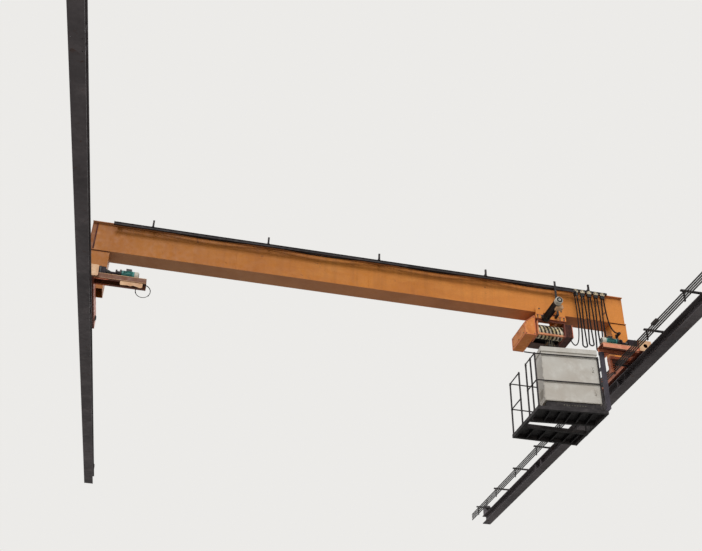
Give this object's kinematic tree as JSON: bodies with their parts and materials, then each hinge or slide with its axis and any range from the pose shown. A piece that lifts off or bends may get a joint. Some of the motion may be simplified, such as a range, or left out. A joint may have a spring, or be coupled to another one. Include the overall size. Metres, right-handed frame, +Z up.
{
  "type": "overhead bridge crane",
  "caption": "overhead travelling crane: a box girder on pedestals and end trucks over two runway beams, an underslung rope hoist, festoon cables and a hanging service platform with a cabinet",
  "frame": {"origin": "on the underside of the left runway beam, at its seat under the resting bridge", "axes": "+X along the bridge from the left rail to the right rail, +Y along the runway away from the camera, +Z up"},
  "size_m": [10.28, 15.3, 3.436],
  "materials": {
    "beam_paint": "old near-black paint with rust, matt",
    "rail_steel": "worn square-bar rail",
    "dark_steel": "black paint, dusty",
    "hanger_paint": "grey-blue paint, dusty",
    "bar_plastic": "dark insulating cover",
    "truck_paint": "faded orange-red paint",
    "girder_paint": "orange-yellow paint, dusty",
    "wheel_steel": "worn wheel steel",
    "gearbox_paint": "dark paint, oily",
    "motor_paint": "green-blue and black motor paint",
    "cable_rubber": "black cable sheath",
    "cabinet_paint": "light grey sheet steel",
    "drum_steel": "greased drum",
    "rope_steel": "greased wire rope",
    "hook_paint": "yellow paint",
    "hook_steel": "forged hook",
    "carrier_paint": "cream zinc-plated carriers"
  },
  "bodies": {
    "runway": {"runway_beams": "beam_paint", "crane_rails": "rail_steel", "end_stops": "beam_paint", "conductor_arms": "dark_steel", "conductor_bars": "bar_plastic", "feed_box": "bar_plastic"},
    "bridge": {"end_trucks": "truck_paint", "end_truck_plates": "truck_paint", "travel_wheels": "wheel_steel", "pedestals": "girder_paint", "girder_flanges": "girder_paint", "girder_webs": "girder_paint", "girder_end_plates": "girder_paint", "drive_shelves": "truck_paint", "drive_gearboxes": "gearbox_paint", "drive_motors": "motor_paint", "drive_cable_ring": "cable_rubber", "current_collector": "truck_paint", "festoon_rail": "dark_steel", "festoon_brackets": "dark_steel", "platform_frame": "dark_steel", "deck_plates": "dark_steel", "near_guard_rail": "dark_steel", "left_guard_rail": "dark_steel", "far_guard_rail": "dark_steel", "platform_hangers": "hanger_paint", "cabinet_plinth": "dark_steel", "cabinet_body": "cabinet_paint", "cabinet_doors": "cabinet_paint", "cabinet_hood": "cabinet_paint", "festoon_end_cable": "cable_rubber"},
    "trolley": {"trolley_side_plates": "girder_paint", "trolley_ties": "girder_paint", "trolley_wheels": "wheel_steel", "trolley_motor": "motor_paint", "motor_terminal_box": "cabinet_paint", "hoist_frame": "girder_paint", "hoist_drum": "drum_steel", "hoist_motor": "motor_paint", "hoist_gear_case": "gearbox_paint", "hoist_end_box": "girder_paint", "tow_arm": "dark_steel", "feed_cable": "cable_rubber", "rope_falls": "rope_steel"},
    "hook": {"hook_block": "hook_paint", "hook": "hook_steel"},
    "carrier_1": {"cable_carrier_1": "carrier_paint", "festoon_loop_1": "cable_rubber"},
    "carrier_2": {"cable_carrier_2": "carrier_paint", "festoon_loop_2": "cable_rubber"},
    "carrier_3": {"cable_carrier_3": "carrier_paint", "festoon_loop_3": "cable_rubber"},
    "carrier_4": {"cable_carrier_4": "carrier_paint", "festoon_loop_4": "cable_rubber"},
    "carrier_5": {"cable_carrier_5": "carrier_paint"}
  },
  "joints": [
    {"name": "bridge_travel", "type": "slide", "parent": "runway", "child": "bridge", "axis": [0, 1, 0], "range_m": [-6, 6.7]},
    {"name": "trolley_travel", "type": "slide", "parent": "bridge", "child": "trolley", "axis": [1, 0, 0], "range_m": [-7.3, 0]},
    {"name": "hook_lift", "type": "slide", "parent": "trolley", "child": "hook", "axis": [0, 0, -1], "range_m": [0, 8], "deforming": ["rope_falls"]},
    {"name": "carrier_5_travel", "type": "slide", "parent": "bridge", "child": "carrier_5", "axis": [1, 0, 0], "range_m": [-1.46, 0], "deforming": ["festoon_end_cable"]},
    {"name": "carrier_4_travel", "type": "slide", "parent": "carrier_5", "child": "carrier_4", "axis": [1, 0, 0], "range_m": [-1.46, 0], "deforming": ["festoon_loop_4"]},
    {"name": "carrier_3_travel", "type": "slide", "parent": "carrier_4", "child": "carrier_3", "axis": [1, 0, 0], "range_m": [-1.46, 0], "deforming": ["festoon_loop_3"]},
    {"name": "carrier_2_travel", "type": "slide", "parent": "carrier_3", "child": "carrier_2", "axis": [1, 0, 0], "range_m": [-1.46, 0], "deforming": ["festoon_loop_2"]},
    {"name": "carrier_1_travel", "type": "slide", "parent": "carrier_2", "child": "carrier_1", "axis": [1, 0, 0], "range_m": [-1.46, 0], "deforming": ["festoon_loop_1"]}
  ],
  "couplings": [
    {"joint": "carrier_5_travel", "follows": "trolley_travel", "ratio": 0.2},
    {"joint": "carrier_4_travel", "follows": "trolley_travel", "ratio": 0.2},
    {"joint": "carrier_3_travel", "follows": "trolley_travel", "ratio": 0.2},
    {"joint": "carrier_2_travel", "follows": "trolley_travel", "ratio": 0.2},
    {"joint": "carrier_1_travel", "follows": "trolley_travel", "ratio": 0.2}
  ]
}
